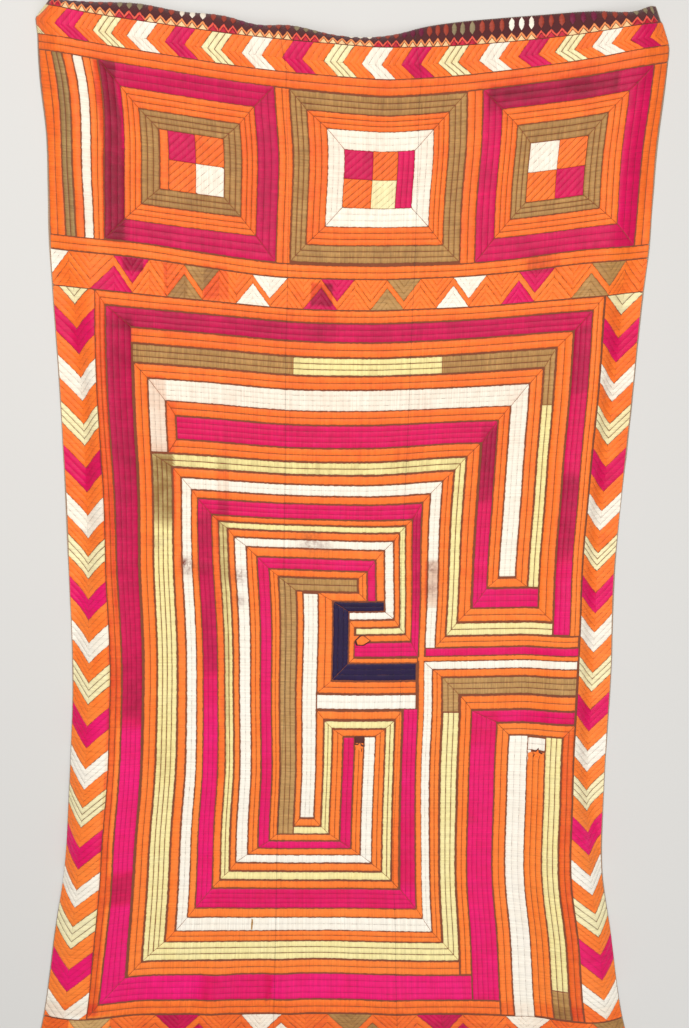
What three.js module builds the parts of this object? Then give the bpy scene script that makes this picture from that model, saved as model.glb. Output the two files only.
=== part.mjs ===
// Phulkari shawl: three lengthwise widths of hand-woven cotton, joined edge to edge, lying face up.
// Millimetres, +X to the shawl's right, +Y towards its bordered end, +Z up, the surface at z = 0.
// Every piece of cloth is one thin closed sheet. "across" runs from the left edge over the cloth and
// "down" runs from the bordered end along it, both measured on the cloth itself.
import * as THREE from "three";

// Cut sizes
const LEFT_WIDTH = 496;
const MIDDLE_WIDTH = 262;
const RIGHT_WIDTH = 492;
const CLOTH_WIDTH = LEFT_WIDTH + MIDDLE_WIDTH + RIGHT_WIDTH;
const CLOTH_LENGTH = 2257;
const CLOTH_THICKNESS = 1.5;
const SEAM_GAP = 0.3;
const BORDER_DEPTH = 46;

// Where the cloth's edges and its middle lie, for distances down the cloth
const OUTLINE = [
  { down: 46, leftX: -602, rightX: 653, leftY: 1125, middleY: 1035, rightY: 1089 },
  { down: 76, leftX: -600, rightX: 662, leftY: 1095, middleY: 1007, rightY: 1064 },
  { down: 106, leftX: -597, rightX: 670, leftY: 1064, middleY: 978, rightY: 1037 },
  { down: 139, leftX: -597, rightX: 668, leftY: 1032, middleY: 947, rightY: 1002 },
  { down: 190, leftX: -595, rightX: 664, leftY: 981, middleY: 899, rightY: 953 },
  { down: 300, leftX: -585, rightX: 653, leftY: 868, middleY: 794, rightY: 844 },
  { down: 400, leftX: -585, rightX: 647, leftY: 766, middleY: 701, rightY: 741 },
  { down: 493, leftX: -586, rightX: 642, leftY: 668, middleY: 610, rightY: 640 },
  { down: 589, leftX: -582, rightX: 633, leftY: 565, middleY: 518, rightY: 549 },
  { down: 850, leftX: -571, rightX: 613, leftY: 300, middleY: 261, rightY: 285 },
  { down: 1130, leftX: -565, rightX: 591, leftY: 15, middleY: -15, rightY: 3 },
  { down: 1400, leftX: -562, rightX: 587, leftY: -260, middleY: -281, rightY: -270 },
  { down: 1680, leftX: -578, rightX: 578, leftY: -545, middleY: -557, rightY: -553 },
  { down: 1820, leftX: -590, rightX: 580, leftY: -687, middleY: -695, rightY: -695 },
  { down: 1960, leftX: -615, rightX: 601, leftY: -830, middleY: -833, rightY: -836 },
  { down: 2149, leftX: -645, rightX: 631, leftY: -1022, middleY: -1019, rightY: -1027 },
  { down: 2257, leftX: -669.8, rightX: 659, leftY: -1131, middleY: -1123, rightY: -1137 },
];
const SAG_PLACE = 0.55;
const SAG_POWER = 1.45;

// Soft folds along the two sides: how high each stands, and how far in from the edge its foot,
// crest and inner end lie on the cloth
const LEFT_FOLD = [
  { down: 0, height: 36, foot: 0, crest: 70, end: 230 },
  { down: 139, height: 30, foot: 0, crest: 74, end: 230 },
  { down: 300, height: 22, foot: 0, crest: 78, end: 230 },
  { down: 520, height: 20, foot: 8, crest: 90, end: 230 },
  { down: 700, height: 33, foot: 30, crest: 100, end: 240 },
  { down: 1000, height: 32, foot: 36, crest: 104, end: 250 },
  { down: 1260, height: 37, foot: 12, crest: 100, end: 260 },
  { down: 1530, height: 38, foot: 0, crest: 88, end: 260 },
  { down: 1800, height: 42, foot: 0, crest: 84, end: 260 },
  { down: 1960, height: 34, foot: 0, crest: 86, end: 250 },
  { down: 2100, height: 24, foot: 0, crest: 80, end: 230 },
  { down: 2257, height: 16, foot: 0, crest: 80, end: 220 },
];
const RIGHT_FOLD = [
  { down: 0, height: 28, foot: 0, crest: 60, end: 200 },
  { down: 139, height: 22, foot: 0, crest: 70, end: 200 },
  { down: 300, height: 22, foot: 6, crest: 80, end: 200 },
  { down: 520, height: 26, foot: 20, crest: 95, end: 200 },
  { down: 700, height: 32, foot: 36, crest: 100, end: 220 },
  { down: 1000, height: 31, foot: 38, crest: 100, end: 230 },
  { down: 1260, height: 31, foot: 38, crest: 100, end: 230 },
  { down: 1530, height: 34, foot: 34, crest: 100, end: 230 },
  { down: 1800, height: 44, foot: 4, crest: 90, end: 260 },
  { down: 1960, height: 42, foot: 0, crest: 88, end: 250 },
  { down: 2100, height: 34, foot: 0, crest: 84, end: 240 },
  { down: 2257, height: 24, foot: 0, crest: 80, end: 220 },
];
const FLARE_FOOT = 20; // a foot this far in or more leaves the edge lying flat

// The border at the far end curls down over a low roll: the roll's height, and how much ground
// the curled border covers
const END_ROLL = [
  { across: 0, height: 30, ground: 12 },
  { across: 60, height: 31, ground: 13 },
  { across: 125, height: 31, ground: 21 },
  { across: 220, height: 27, ground: 33 },
  { across: 300, height: 27, ground: 30 },
  { across: 385, height: 27, ground: 33 },
  { across: 450, height: 30, ground: 24 },
  { across: 510, height: 29, ground: 30 },
  { across: 612, height: 31, ground: 19 },
  { across: 720, height: 27, ground: 27 },
  { across: 775, height: 19, ground: 39 },
  { across: 840, height: 9, ground: 45 },
  { across: 920, height: 5, ground: 46 },
  { across: 1000, height: 8, ground: 44 },
  { across: 1110, height: 18, ground: 38 },
  { across: 1190, height: 26, ground: 27 },
  { across: 1225, height: 25, ground: 31 },
  { across: 1250, height: 24, ground: 28 },
];
const ROLL_END = 240;
const ROLL_PARTS = 24;

// The far corners are tucked in
const LEFT_TUCK = { from: 76, slope: 0.9, more: 10, reach: 130 };
const RIGHT_TUCK = { from: 52, slope: 0.4, more: 10, reach: 70 };
const TUCK_POWER = 1.5;

// How finely the sheets are divided: close together where the cloth bends, wide where it lies flat
const SIDE_STEPS = [0, 12, 26, 40, 52, 64, 76, 88, 100, 114, 134, 160, 192, 230, 275];
const FLAT_STEP = 75;
const END_STEPS = [0, 8, 16, 25, 35, 46, 60, 78, 102, 132, 168, 210, 260];
const LENGTH_STEP = 72;
const LAYING_STEP = 2.5;
const NORMAL_REACH = 1;

const khaddar = new THREE.MeshStandardMaterial({ color: 0x8a4326, roughness: 0.92, metalness: 0 });

// A smooth value of one column of a table at a place between its rows
function smoothColumn(table, key, column, place) {
  const last = table.length - 1;
  const p = Math.min(Math.max(place, table[0][key]), table[last][key]);
  let i = 0;
  while (i < last - 1 && p > table[i + 1][key]) i += 1;
  const slope = (k) => (table[k + 1][column] - table[k][column]) / (table[k + 1][key] - table[k][key]);
  const span = (k) => table[k + 1][key] - table[k][key];
  const tangent = (k) => {
    if (k === 0) return slope(0);
    if (k === last) return slope(last - 1);
    return (slope(k - 1) * span(k) + slope(k) * span(k - 1)) / (span(k - 1) + span(k));
  };
  const t = (p - table[i][key]) / span(i);
  const t2 = t * t;
  const t3 = t2 * t;
  return (
    (2 * t3 - 3 * t2 + 1) * table[i][column] +
    (t3 - 2 * t2 + t) * span(i) * tangent(i) +
    (3 * t2 - 2 * t3) * table[i + 1][column] +
    (t3 - t2) * span(i) * tangent(i + 1)
  );
}

const clamp01 = (x) => Math.min(Math.max(x, 0), 1);
const easeInOut = (x) => clamp01(x) ** 2 * (3 - 2 * clamp01(x));

// Share of a fold's height reached at a distance in from the edge
function riseFromEdge(inward, foot, crest) {
  const a = clamp01((inward - foot) / (crest - foot));
  const flare = clamp01(foot / FLARE_FOOT);
  return Math.sin((a * Math.PI) / 2) * (1 - flare) + easeInOut(a) * flare;
}

const fallInward = (inward, crest, end) => 1 - easeInOut((inward - crest) / (end - crest));

// Every column of a fold's table at one place down the cloth
function foldAt(table, down) {
  const columns = Object.keys(table[0]).filter((column) => column !== "down");
  return Object.fromEntries(columns.map((c) => [c, smoothColumn(table, "down", c, down)]));
}

// Height of the cloth's underside over the surface, for all places along one line across the cloth
function heightsAcross(down) {
  const left = foldAt(LEFT_FOLD, down);
  const right = foldAt(RIGHT_FOLD, down);
  const rollShare = fallInward(down, BORDER_DEPTH, ROLL_END);
  return (across) => {
    const fromRight = CLOTH_WIDTH - across;
    const leftHeight = left.height * fallInward(across, left.crest, left.end);
    const rightHeight = right.height * fallInward(fromRight, right.crest, right.end);
    const roll = rollShare > 0 ? smoothColumn(END_ROLL, "across", "height", across) * rollShare : 0;
    return (
      (leftHeight ** 4 + rightHeight ** 4 + roll ** 4) ** 0.25 *
      riseFromEdge(across, left.foot, left.crest) *
      riseFromEdge(fromRight, right.foot, right.crest)
    );
  };
}

// How far a tucked corner draws the cloth in sideways
function tuckedIn(tuck, inward, down) {
  const flat = tuck.slope * Math.max(tuck.from - Math.max(down, BORDER_DEPTH), 0);
  const curled = tuck.more * clamp01(1 - down / BORDER_DEPTH);
  return (flat + curled) * clamp01(1 - inward / tuck.reach) ** TUCK_POWER;
}

// Lays one line of the cloth: walks across it, so that a slope takes up less ground than its length
function layAcross(down) {
  const height = heightsAcross(down);
  const steps = Math.round(CLOTH_WIDTH / LAYING_STEP);
  const ground = [0];
  const z = [height(0)];
  for (let i = 1; i <= steps; i += 1) {
    z.push(height(i * LAYING_STEP));
    const rise = z[i] - z[i - 1];
    ground.push(ground[i - 1] + Math.sqrt(Math.max(LAYING_STEP ** 2 - rise ** 2, 0.02)));
  }
  const leftX = smoothColumn(OUTLINE, "down", "leftX", down);
  const fit = (smoothColumn(OUTLINE, "down", "rightX", down) - leftX) / ground[steps];
  return (across) => {
    const place = across / LAYING_STEP;
    const i = Math.min(Math.floor(place), steps - 1);
    const f = place - i;
    return {
      x: leftX + fit * (ground[i] + (ground[i + 1] - ground[i]) * f),
      z: z[i] + (z[i + 1] - z[i]) * f,
    };
  };
}

// The line across the cloth sags towards the middle of the shawl
function lengthwisePlace(across, down) {
  const t = across / CLOTH_WIDTH;
  const leftY = smoothColumn(OUTLINE, "down", "leftY", down);
  const middleY = smoothColumn(OUTLINE, "down", "middleY", down);
  const rightY = smoothColumn(OUTLINE, "down", "rightY", down);
  const sag = leftY + (rightY - leftY) * SAG_PLACE - middleY;
  const side = t < SAG_PLACE ? (SAG_PLACE - t) / SAG_PLACE : (t - SAG_PLACE) / (1 - SAG_PLACE);
  return leftY + (rightY - leftY) * t - sag * (1 - side ** SAG_POWER);
}

// The curled border is a quarter of an oval: how far out and how high a share of its length lies
function curl(ground, height, share) {
  const at = (k) => {
    const turn = (Math.PI / 2) * (k / ROLL_PARTS);
    return { out: ground * Math.sin(turn), z: height * Math.cos(turn) };
  };
  const lengths = [0];
  for (let k = 1; k <= ROLL_PARTS; k += 1) {
    const [from, to] = [at(k - 1), at(k)];
    lengths.push(lengths[k - 1] + Math.hypot(to.out - from.out, to.z - from.z));
  }
  const reached = share * lengths[ROLL_PARTS];
  let k = 0;
  while (k < ROLL_PARTS - 1 && lengths[k + 1] < reached) k += 1;
  return at(k + (reached - lengths[k]) / (lengths[k + 1] - lengths[k]));
}

const laidLines = new Map();
function laidLine(down) {
  const key = Math.round(down * 100);
  if (!laidLines.has(key)) laidLines.set(key, layAcross(down));
  return laidLines.get(key);
}

// A place on the cloth's underside
function clothPoint(across, down) {
  const flatDown = Math.max(down, BORDER_DEPTH);
  const whole = Math.floor(flatDown);
  const low = laidLine(whole)(across);
  const high = laidLine(whole + 1)(across);
  const f = flatDown - whole;
  let x = low.x + (high.x - low.x) * f;
  let y = lengthwisePlace(across, flatDown);
  let z = low.z + (high.z - low.z) * f;
  if (down < BORDER_DEPTH) {
    const ground = smoothColumn(END_ROLL, "across", "ground", across);
    const curled = curl(ground, z, 1 - down / BORDER_DEPTH);
    y += curled.out;
    z = curled.z;
  }
  x += tuckedIn(LEFT_TUCK, across, down);
  x -= tuckedIn(RIGHT_TUCK, CLOTH_WIDTH - across, down);
  return new THREE.Vector3(x, y, z);
}

function clothNormal(across, down) {
  const a0 = Math.max(across - NORMAL_REACH, 0);
  const a1 = Math.min(across + NORMAL_REACH, CLOTH_WIDTH);
  const d0 = Math.max(down - NORMAL_REACH, 0);
  const d1 = Math.min(down + NORMAL_REACH, CLOTH_LENGTH);
  const rightward = clothPoint(a1, down).sub(clothPoint(a0, down));
  const upward = clothPoint(across, d0).sub(clothPoint(across, d1));
  return rightward.cross(upward).normalize();
}

// One closed sheet over a grid of places on the cloth
function sheet(name, acrossSteps, downSteps) {
  const columns = acrossSteps.length;
  const rows = downSteps.length;
  const under = [];
  const over = [];
  for (const down of downSteps) {
    for (const across of acrossSteps) {
      const point = clothPoint(across, down);
      under.push(point);
      over.push(point.clone().addScaledVector(clothNormal(across, down), CLOTH_THICKNESS));
    }
  }
  const positions = [...under, ...over].flatMap((p) => [p.x, p.y, p.z]);
  const faces = [];
  const top = rows * columns;
  const at = (r, c) => r * columns + c;
  for (let r = 0; r < rows - 1; r += 1) {
    for (let c = 0; c < columns - 1; c += 1) {
      const [a, b, d, e] = [at(r, c), at(r, c + 1), at(r + 1, c), at(r + 1, c + 1)];
      faces.push(a, b, e, a, e, d);
      faces.push(top + a, top + e, top + b, top + a, top + d, top + e);
    }
  }
  const rim = [];
  for (let c = 0; c < columns; c += 1) rim.push(at(0, c));
  for (let r = 1; r < rows; r += 1) rim.push(at(r, columns - 1));
  for (let c = columns - 2; c >= 0; c -= 1) rim.push(at(rows - 1, c));
  for (let r = rows - 2; r > 0; r -= 1) rim.push(at(r, 0));
  rim.forEach((a, i) => {
    const b = rim[(i + 1) % rim.length];
    faces.push(a, top + a, b, b, top + a, top + b);
  });
  const geometry = new THREE.BufferGeometry();
  geometry.setAttribute("position", new THREE.Float32BufferAttribute(positions, 3));
  geometry.setIndex(faces);
  geometry.computeVertexNormals();
  const mesh = new THREE.Mesh(geometry, khaddar.clone());
  mesh.name = name;
  return mesh;
}

// Even steps between two places, no wider than asked
function evenSteps(from, to, widest) {
  const count = Math.ceil((to - from) / widest);
  return Array.from({ length: count + 1 }, (_, i) => from + ((to - from) * i) / count);
}

const sideEnd = SIDE_STEPS[SIDE_STEPS.length - 1];
const rollEnd = END_STEPS[END_STEPS.length - 1];
const leftSeam = LEFT_WIDTH;
const rightSeam = LEFT_WIDTH + MIDDLE_WIDTH;
const downSteps = [...END_STEPS, ...evenSteps(rollEnd, CLOTH_LENGTH, LENGTH_STEP).slice(1)];
const leftSteps = [...SIDE_STEPS, ...evenSteps(sideEnd, leftSeam - SEAM_GAP / 2, FLAT_STEP).slice(1)];
const middleSteps = evenSteps(leftSeam + SEAM_GAP / 2, rightSeam - SEAM_GAP / 2, FLAT_STEP);
const rightSteps = [
  ...evenSteps(rightSeam + SEAM_GAP / 2, CLOTH_WIDTH - sideEnd, FLAT_STEP).slice(0, -1),
  ...SIDE_STEPS.map((inward) => CLOTH_WIDTH - inward).reverse(),
];

const shawl = new THREE.Group();
shawl.add(sheet("panel_left", leftSteps, downSteps));
shawl.add(sheet("panel_middle", middleSteps, downSteps));
shawl.add(sheet("panel_right", rightSteps, downSteps));

export default shawl;
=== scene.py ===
"""Phulkari shawl lying face up: three widths of hand-loomed cotton, covered in rows of silk darning.
Cloth sizes are in millimetres on the cloth itself: across from the left edge, down from the far end."""
import functools
import math

import bpy
import numpy as np
from mathutils import Matrix, Vector


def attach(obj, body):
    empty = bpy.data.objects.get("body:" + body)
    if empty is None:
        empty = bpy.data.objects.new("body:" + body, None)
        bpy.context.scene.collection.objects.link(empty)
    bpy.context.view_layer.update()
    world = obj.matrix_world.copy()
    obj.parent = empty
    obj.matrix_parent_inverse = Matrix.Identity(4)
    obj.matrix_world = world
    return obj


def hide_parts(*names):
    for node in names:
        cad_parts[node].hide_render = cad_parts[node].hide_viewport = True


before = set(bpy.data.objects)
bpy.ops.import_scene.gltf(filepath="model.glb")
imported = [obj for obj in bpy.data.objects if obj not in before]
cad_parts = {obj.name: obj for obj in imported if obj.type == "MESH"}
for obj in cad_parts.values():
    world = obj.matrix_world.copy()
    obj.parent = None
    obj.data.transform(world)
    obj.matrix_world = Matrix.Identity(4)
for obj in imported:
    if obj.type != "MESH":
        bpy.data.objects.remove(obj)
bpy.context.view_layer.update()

rng = np.random.default_rng(41)

# Cloth sizes, as in the solids
WIDTH, LENGTH = 1250.0, 2257.0
SEAMS = (496.0, 758.0)
WIDTHS = {"left": (0.0, SEAMS[0]), "middle": SEAMS, "right": (SEAMS[1], WIDTH)}
SEAM_GAP = 0.3
COTTON = 0.8          # thickness of the cotton
SILK_BED = 1.08       # height over the underside that the rows of silk are laid at
BORDER = 46.0         # what curls under at the far end
LAYING = 2.5          # step across in the lattice that the cloth is laid on
LAYING_ROWS = 904
COTTON_ACROSS, COTTON_DOWN = 5.2, 8.0   # steps of the cotton's mesh
CURLED, CURLED_ROWS = 60.0, 16         # the far stretch where its steps are closer
MAROON_END, SELVEDGE = 50.0, 4.5        # where the maroon end stops, and how wide a selvedge is


def table(names, rows):
    return {n: np.array([r[i] for r in rows], float) for i, n in enumerate(names.split())}


OUTLINE = table("down left_x right_x left_y middle_y right_y", [
    (46, -602, 653, 1125, 1035, 1089), (76, -600, 662, 1095, 1007, 1064),
    (106, -597, 670, 1064, 978, 1037), (139, -597, 668, 1032, 947, 1002),
    (190, -595, 664, 981, 899, 953), (300, -585, 653, 868, 794, 844),
    (400, -585, 647, 766, 701, 741), (493, -586, 642, 668, 610, 640),
    (589, -582, 633, 565, 518, 549), (850, -571, 613, 300, 261, 285),
    (1130, -565, 591, 15, -15, 3), (1400, -562, 587, -260, -281, -270),
    (1680, -578, 578, -545, -557, -553), (1820, -590, 580, -687, -695, -695),
    (1960, -615, 601, -830, -833, -836), (2149, -645, 631, -1022, -1019, -1027),
    (2257, -669.8, 659, -1131, -1123, -1137)])
SAG_PLACE, SAG_POWER = 0.55, 1.45

LEFT_FOLD = table("down height foot crest end", [
    (0, 36, 0, 70, 230), (139, 30, 0, 74, 230), (300, 22, 0, 78, 230), (520, 20, 8, 90, 230),
    (700, 33, 30, 100, 240), (1000, 32, 36, 104, 250), (1260, 37, 12, 100, 260), (1530, 38, 0, 88, 260),
    (1800, 42, 0, 84, 260), (1960, 34, 0, 86, 250), (2100, 24, 0, 80, 230), (2257, 16, 0, 80, 220)])
RIGHT_FOLD = table("down height foot crest end", [
    (0, 28, 0, 60, 200), (139, 22, 0, 70, 200), (300, 22, 6, 80, 200), (520, 26, 20, 95, 200),
    (700, 32, 36, 100, 220), (1000, 31, 38, 100, 230), (1260, 31, 38, 100, 230), (1530, 34, 34, 100, 230),
    (1800, 44, 4, 90, 260), (1960, 42, 0, 88, 250), (2100, 34, 0, 84, 240), (2257, 24, 0, 80, 220)])
FLARE_FOOT = 20

END_ROLL = table("across height ground", [
    (0, 30, 12), (60, 31, 13), (125, 31, 21), (220, 27, 33), (300, 27, 30), (385, 27, 33), (450, 30, 24),
    (510, 29, 30), (612, 31, 19), (720, 27, 27), (775, 19, 39), (840, 9, 45), (920, 5, 46), (1000, 8, 44),
    (1110, 18, 38), (1190, 26, 27), (1225, 25, 31), (1250, 24, 28)])
ROLL_END, ROLL_PARTS = 240.0, 24

LEFT_TUCK = {"from": 76, "slope": 0.9, "more": 10, "reach": 130}
RIGHT_TUCK = {"from": 52, "slope": 0.4, "more": 10, "reach": 70}
TUCK_POWER = 1.5

# Small creases and ridges in the laid cloth, each a soft ridge along a line
CREASES = [  # across0 down0 across1 down1 half_width height
    (497, 0, 497, 2257, 5, 0.5), (758, 0, 758, 2257, 5, 0.5),
    (30, 1152, 1230, 1146, 26, 1.3), (262, 1470, 1230, 1462, 22, 0.9),
    (330, 2257, 392, 2015, 46, 5.0), (545, 2257, 500, 1990, 40, 4.2),
    (462, 2165, 508, 2042, 8, 2.6), (760, 2257, 742, 2060, 70, 4.0),
    (982, 2257, 1010, 2080, 55, 3.4), (180, 560, 300, 700, 30, 1.6),
    (900, 520, 1010, 640, 40, 2.2), (640, 150, 655, 500, 34, 1.4),
    (260, 170, 380, 330, 30, 1.6), (1010, 170, 960, 420, 36, 1.8),
    (150, 1380, 215, 1500, 20, 1.8), (140, 1845, 230, 1870, 18, 2.0),
]
CREASE_FADE, CREASE_SWAY, CREASE_BEND = 60, 0.18, 37.0
PUCKERS = ((160, 0.34), (95, 0.24), (52, 0.14), (27, 0.07))  # size and height of the small waves
PUCKER_BASE = 0.55


def smooth(tab, key, column, place):
    """The value of a column between its rows, as one smooth curve."""
    x, y = tab[key], tab[column]
    h = np.diff(x)
    d = np.diff(y) / h
    m = np.concatenate([[d[0]], (d[:-1] * h[1:] + d[1:] * h[:-1]) / (h[:-1] + h[1:]), [d[-1]]])
    p = np.clip(place, x[0], x[-1])
    i = np.clip(np.searchsorted(x, p, side="left") - 1, 0, len(x) - 2)
    t = (p - x[i]) / h[i]
    return ((2 * t**3 - 3 * t**2 + 1) * y[i] + (t**3 - 2 * t**2 + t) * h[i] * m[i]
            + (3 * t**2 - 2 * t**3) * y[i + 1] + (t**3 - t**2) * h[i] * m[i + 1])


def ease(x):
    x = np.clip(x, 0, 1)
    return x * x * (3 - 2 * x)


def rise(inward, foot, crest):
    a = np.clip((inward - foot) / (crest - foot), 0, 1)
    flare = np.clip(foot / FLARE_FOOT, 0, 1)
    return np.sin(a * math.pi / 2) * (1 - flare) + ease(a) * flare


def tucked(tuck, inward, down):
    flat = tuck["slope"] * np.maximum(tuck["from"] - np.maximum(down, BORDER), 0)
    curled = tuck["more"] * np.clip(1 - down / BORDER, 0, 1)
    return (flat + curled) * np.clip(1 - inward / tuck["reach"], 0, 1) ** TUCK_POWER


def unevenness(u, v):
    """The cloth's small lifts: creases, and the slight pucker that the stitching gives."""
    z = np.zeros(np.broadcast(u, v).shape)
    for u0, v0, u1, v1, half, height in CREASES:
        length = math.hypot(u1 - u0, v1 - v0)
        along = ((u - u0) * (u1 - u0) + (v - v0) * (v1 - v0)) / length
        off = ((u - u0) * (v1 - v0) - (v - v0) * (u1 - u0)) / length
        off = off + CREASE_SWAY * half * np.sin(along / CREASE_BEND)
        ends = ease(along / CREASE_FADE + (v0 in (0, LENGTH)))
        ends = ends * ease((length - along) / CREASE_FADE + (v1 == LENGTH))
        z = z + height * ends * (1 - ease(np.abs(off) / half))
    waves = np.random.default_rng(7)
    pucker = 0
    for size, amount in PUCKERS:
        for _ in range(3):
            turn, a, b = waves.uniform(0, math.pi), *waves.uniform(0, 6.28, 2)
            along, across = u * math.cos(turn) + v * math.sin(turn), v * math.cos(turn) - u * math.sin(turn)
            wave = np.sin(along * 6.28 / size + a) * np.sin(across * 6.28 / (size * 1.7) + b)
            pucker = pucker + amount * wave
    return z + np.maximum(pucker + PUCKER_BASE, 0)


def lay_cloth():
    """The cloth's underside and normals over a close lattice of places on it."""
    u = np.arange(0, WIDTH + 0.01, LAYING)[None, :]
    v = np.linspace(0, LENGTH, LAYING_ROWS)[:, None]
    flat = np.maximum(v, BORDER)
    left, right = ({c: smooth(fold, "down", c, flat) for c in ("height", "foot", "crest", "end")}
                   for fold in (LEFT_FOLD, RIGHT_FOLD))
    left_lift = left["height"] * (1 - ease((u - left["crest"]) / (left["end"] - left["crest"])))
    right_lift = right["height"] * (1 - ease((WIDTH - u - right["crest"]) / (right["end"] - right["crest"])))
    end_lift = smooth(END_ROLL, "across", "height", u) * (1 - ease((flat - BORDER) / (ROLL_END - BORDER)))
    z = (left_lift**4 + right_lift**4 + end_lift**4) ** 0.25
    z = z * rise(u, left["foot"], left["crest"]) * rise(WIDTH - u, right["foot"], right["crest"])
    step = np.sqrt(np.maximum(LAYING**2 - np.diff(z, axis=1) ** 2, 0.02))
    ground = np.pad(np.cumsum(step, axis=1), ((0, 0), (1, 0)))
    columns = ("left_x", "right_x", "left_y", "middle_y", "right_y")
    left_x, right_x, left_y, middle_y, right_y = (smooth(OUTLINE, "down", name, flat) for name in columns)
    x = left_x + (right_x - left_x) * ground / ground[:, -1:]
    t = u / WIDTH
    sag = left_y + (right_y - left_y) * SAG_PLACE - middle_y
    side = np.where(t < SAG_PLACE, (SAG_PLACE - t) / SAG_PLACE, (t - SAG_PLACE) / (1 - SAG_PLACE))
    y = left_y + (right_y - left_y) * t - sag * (1 - side**SAG_POWER)
    # the curled border goes round an ellipse, by its length along the curve
    cover = smooth(END_ROLL, "across", "ground", u[0])
    turns = np.linspace(0, math.pi / 2, ROLL_PARTS + 1)
    for i in np.where(v[:, 0] < BORDER)[0]:
        out = cover[:, None] * np.sin(turns)
        up = z[i][:, None] * np.cos(turns)
        steps = np.hypot(np.diff(out, axis=1), np.diff(up, axis=1))
        lengths = np.pad(np.cumsum(steps, axis=1), ((0, 0), (1, 0)))
        share = 1 - v[i, 0] / BORDER
        for k in range(len(cover)):
            turn = np.interp(share * lengths[k, -1], lengths[k], turns)
            y[i, k] += cover[k] * math.sin(turn)
            z[i, k] *= math.cos(turn)
    x = x + tucked(LEFT_TUCK, u, v) - tucked(RIGHT_TUCK, WIDTH - u, v)
    z = z + unevenness(u, v) * ease(v / CURLED)
    place = np.stack([x, y, z], axis=-1)
    rightward = np.gradient(place, axis=1)
    upward = -np.gradient(place, axis=0)
    normal = np.cross(rightward, upward)
    normal /= np.linalg.norm(normal, axis=-1, keepdims=True)
    return place, normal


PLACE, NORMAL = lay_cloth()


def on_cloth(u, v, lift):
    """Places on the cloth, lifted off its underside, in metres in the shared frame."""
    a = np.clip(u, 0, WIDTH) / LAYING
    b = np.clip(v, 0, LENGTH) / (LENGTH / (LAYING_ROWS - 1))
    i = np.minimum(a.astype(int), PLACE.shape[1] - 2)
    j = np.minimum(b.astype(int), PLACE.shape[0] - 2)
    f, g = (a - i)[..., None], (b - j)[..., None]

    def mix(grid):
        return ((grid[j, i] * (1 - f) + grid[j, i + 1] * f) * (1 - g)
                + (grid[j + 1, i] * (1 - f) + grid[j + 1, i + 1] * f) * g)

    n = mix(NORMAL)
    n /= np.linalg.norm(n, axis=-1, keepdims=True)
    return (mix(PLACE) + n * np.asarray(lift)[..., None]) * 0.001


# How the stitched rows wander
DRIFT_DOWN = ([0, 1050, 1200, 1400, 1600, 1800, 2000, 2100, 2160], [0, 0, 6, 10, 18, 19, 15, 8, 0])
DRIFT_ACROSS = ([0, 200, 240, 280, 350, 450, 540, 610, 690, 735, 780, 825, 875, 950, 1250],
                [0, 0, .2, .5, 1, 1, .55, .2, .25, .6, .6, .4, .25, 0, 0])
SAG_ACROSS = ([0, 120, 300, 480, 700, 850, 1000, 1150, 1250], [-2, 0, 3, 7, 8, 5, -1, -6, -8])
SAG_DOWN = ([0, 50, 106, 520, 588, 700, 760], [0, 0, 1, 1, .45, .1, 0])
DRIFTS = table("u v reach_u reach_v across down", [
    (45, 190, 90, 100, 14, 0), (60, 75, 100, 40, 2, 0), (160, 200, 110, 110, 5, 0),
    (600, 235, 650, 100, 4, 1), (1150, 190, 150, 120, 0, 4), (121, 1400, 24, 420, 8, 0),
    (121, 1900, 24, 160, 6, 0),
    (700, 80, 200, 50, -2, -4), (690, 440, 90, 60, 2, -5), (450, 520, 100, 50, 0, 4),
    (200, 500, 90, 30, 0, -4), (1090, 500, 90, 40, -1, -4), (520, 760, 170, 250, 0, 7),
    (720, 680, 130, 60, 0, 3), (850, 930, 120, 110, 2, -8), (570, 1230, 120, 60, 0, 3),
    (850, 1340, 80, 110, -6, 1), (820, 1570, 60, 170, -7, 0), (520, 1440, 140, 150, -6, 0),
    (1150, 1230, 120, 110, 4, 2), (170, 1660, 120, 160, 3, 0), (160, 1500, 240, 600, 0, 3),
    (560, 2040, 170, 80, 0, -4), (1050, 1010, 150, 100, 3, 0)])
SIDE_HOLD = 20.0  # the rows next to the side edges keep to them


def wander(u, v):
    """Where a charted place really lies on the cloth, since hand counting drifts."""
    du = np.interp(v, *DRIFT_DOWN) * np.interp(u, *DRIFT_ACROSS)
    dv = np.interp(u, *SAG_ACROSS) * np.interp(v, *SAG_DOWN)
    for at, down, reach_u, reach_v, across, along in zip(*DRIFTS.values()):
        share = np.exp(-(((u - at) / reach_u) ** 2 + ((v - down) / reach_v) ** 2))
        du = du + share * across
        dv = dv + share * along
    du = du * ease(np.minimum(u, WIDTH - u) / SIDE_HOLD)
    du = du + 1.1 * np.sin(v / 61.0 + u / 190.0) * np.sin(v / 233.0)
    dv = dv + 0.9 * np.sin(u / 67.0 + v / 170.0) * np.sin(u / 211.0 + 1)
    return np.clip(u + du, 1.0, WIDTH - 1.0), np.clip(v + dv, 0.6, LENGTH - 0.6)


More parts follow.
